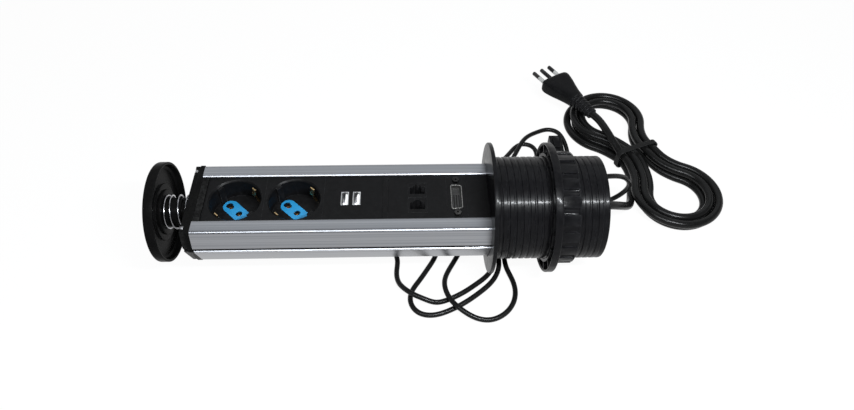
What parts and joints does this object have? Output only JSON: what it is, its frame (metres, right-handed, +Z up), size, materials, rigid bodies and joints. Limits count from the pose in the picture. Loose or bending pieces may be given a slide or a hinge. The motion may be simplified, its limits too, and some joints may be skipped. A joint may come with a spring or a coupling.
{
  "type": "pop up desk socket",
  "caption": "Desk socket tower that slides out of a threaded desk tube with flange and lock nut: mains sockets, charger ports, data jacks, a video port, sprung push cap and coiled mains lead.",
  "frame": {"origin": "middle of the tower and tube without the leads, on the surface it lies on", "axes": "+X along the tower from the push cap to the open end of the tube, +Z up out of the socket face"},
  "size_m": [0.4663, 0.2865, 0.102],
  "materials": {
    "tube_plastic": "semi-gloss black",
    "profile_aluminium": "brushed, lines along the profile",
    "cap_plastic": "gloss black",
    "steel": "zinc plated",
    "foot_plastic": "matt black",
    "socket_plastic": "satin black",
    "insert_blue": "saturated blue",
    "brass": "bright",
    "port_metal": "bright plated",
    "port_white": "white",
    "board": "green circuit board",
    "video_plastic": "matt black",
    "cord_rubber": "smooth black cable sheath",
    "plug_plastic": "satin black",
    "pin_metal": "dark plated",
    "spring_steel": "bright wire"
  },
  "bodies": {
    "tube": {"threaded_tube": "tube_plastic", "data_cable_1": "cord_rubber", "data_cable_2": "cord_rubber", "data_lead_1": "cord_rubber", "data_lead_2": "cord_rubber", "data_plug_1": "plug_plastic", "data_plug_2": "plug_plastic"},
    "pressure_ring": {"pressure_ring": "tube_plastic"},
    "lock_nut": {"lock_nut": "tube_plastic"},
    "cap": {"push_cap": "cap_plastic", "cap_stem": "cap_plastic", "cap_retainer": "steel"},
    "tower": {"tower_profile": "profile_aluminium", "end_cap": "cap_plastic", "end_cap_screws": "steel", "foot_plate": "foot_plastic", "foot_screws": "steel", "socket_1": "socket_plastic", "socket_2": "socket_plastic", "socket_insert_1": "insert_blue", "socket_insert_2": "insert_blue", "earth_clips_1": "brass", "earth_clips_2": "brass", "line_busbar": "brass", "neutral_busbar": "brass", "earth_busbar": "brass", "usb_panel": "socket_plastic", "usb_shells": "port_metal", "usb_tongues": "port_white", "usb_board": "board", "divider_strip": "socket_plastic", "data_panel": "socket_plastic", "data_jack_1": "socket_plastic", "data_jack_2": "socket_plastic", "jack_contacts_1": "brass", "jack_contacts_2": "brass", "video_panel": "socket_plastic", "video_shell": "port_metal", "video_insert": "video_plastic", "video_screws": "steel", "blank_panel": "socket_plastic", "mains_gland": "foot_plastic", "mains_lead": "cord_rubber", "hank_tie": "foot_plastic", "plug_body": "plug_plastic", "plug_pins": "pin_metal", "plug_sleeves": "port_white", "cap_spring": "spring_steel"}
  },
  "joints": [
    {"name": "tower_slide", "type": "slide", "parent": "tube", "child": "tower", "axis": [1, 0, 0], "range_m": [0, 0.232], "deforming": ["data_lead_1", "data_lead_2"]},
    {"name": "cap_press", "type": "slide", "parent": "tower", "child": "cap", "axis": [1, 0, 0], "range_m": [0, 0.012], "stiffness_N_per_m": 300, "springref_m": -0.005, "deforming": ["cap_spring"]},
    {"name": "ring_slide", "type": "slide", "parent": "tube", "child": "pressure_ring", "axis": [1, 0, 0], "range_m": [-0.024, 0.02]},
    {"name": "nut_spin", "type": "hinge", "parent": "pressure_ring", "child": "lock_nut", "pos_m": [0.14025, 0, 0.051], "axis": [1, 0, 0], "range_deg": [-1720, 1436]}
  ],
  "couplings": [
    {"joint": "ring_slide", "follows": "nut_spin", "m_per_rad": 0.00079577}
  ]
}
